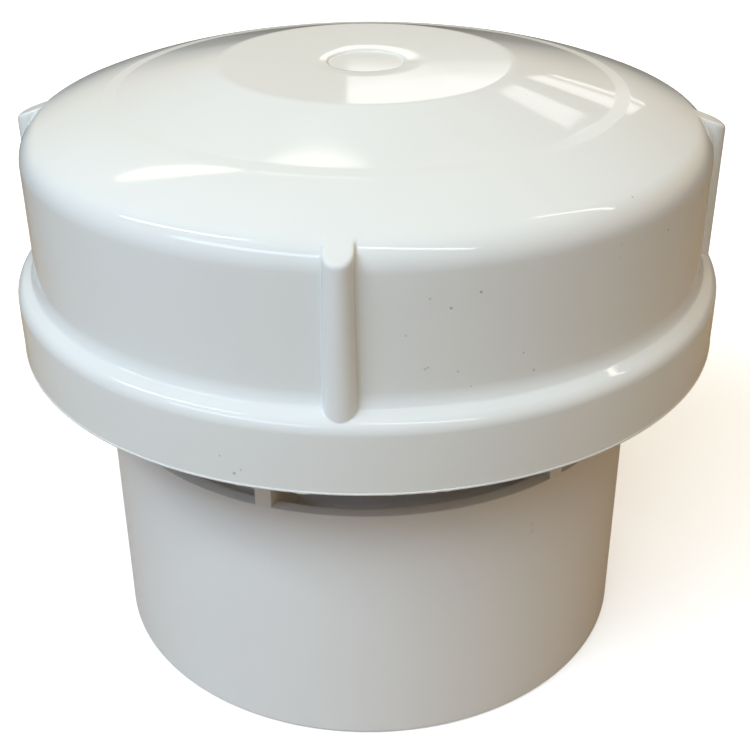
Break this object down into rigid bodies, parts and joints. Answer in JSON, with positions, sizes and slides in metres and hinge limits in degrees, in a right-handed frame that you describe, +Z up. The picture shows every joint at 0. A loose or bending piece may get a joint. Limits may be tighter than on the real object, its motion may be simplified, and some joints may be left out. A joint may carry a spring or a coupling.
{
  "type": "air admittance valve",
  "caption": "Round drainage vent valve with a plain spigot, air windows under a skirted domed cap with grip ribs, and a gravity-closed rubber diaphragm.",
  "frame": {"origin": "centre of the spigot's lower end face", "axes": "+Z up along the valve's axis, from the spigot to the cap; -Y through the middle of one air window"},
  "size_m": [0.1404, 0.1404, 0.12],
  "materials": {
    "body_pvc": "satin moulded",
    "cap_pvc": "polished moulded",
    "diaphragm_rubber": "matt moulded",
    "carrier_plastic": "moulded"
  },
  "bodies": {
    "housing": {"body": "body_pvc", "cap": "cap_pvc"},
    "valve_disc": {"diaphragm": "diaphragm_rubber", "diaphragm_carrier": "carrier_plastic", "retainer_ring": "carrier_plastic"}
  },
  "joints": [
    {"name": "diaphragm_lift", "type": "slide", "parent": "housing", "child": "valve_disc", "axis": [0, 0, 1], "range_m": [0, 0.01]}
  ]
}
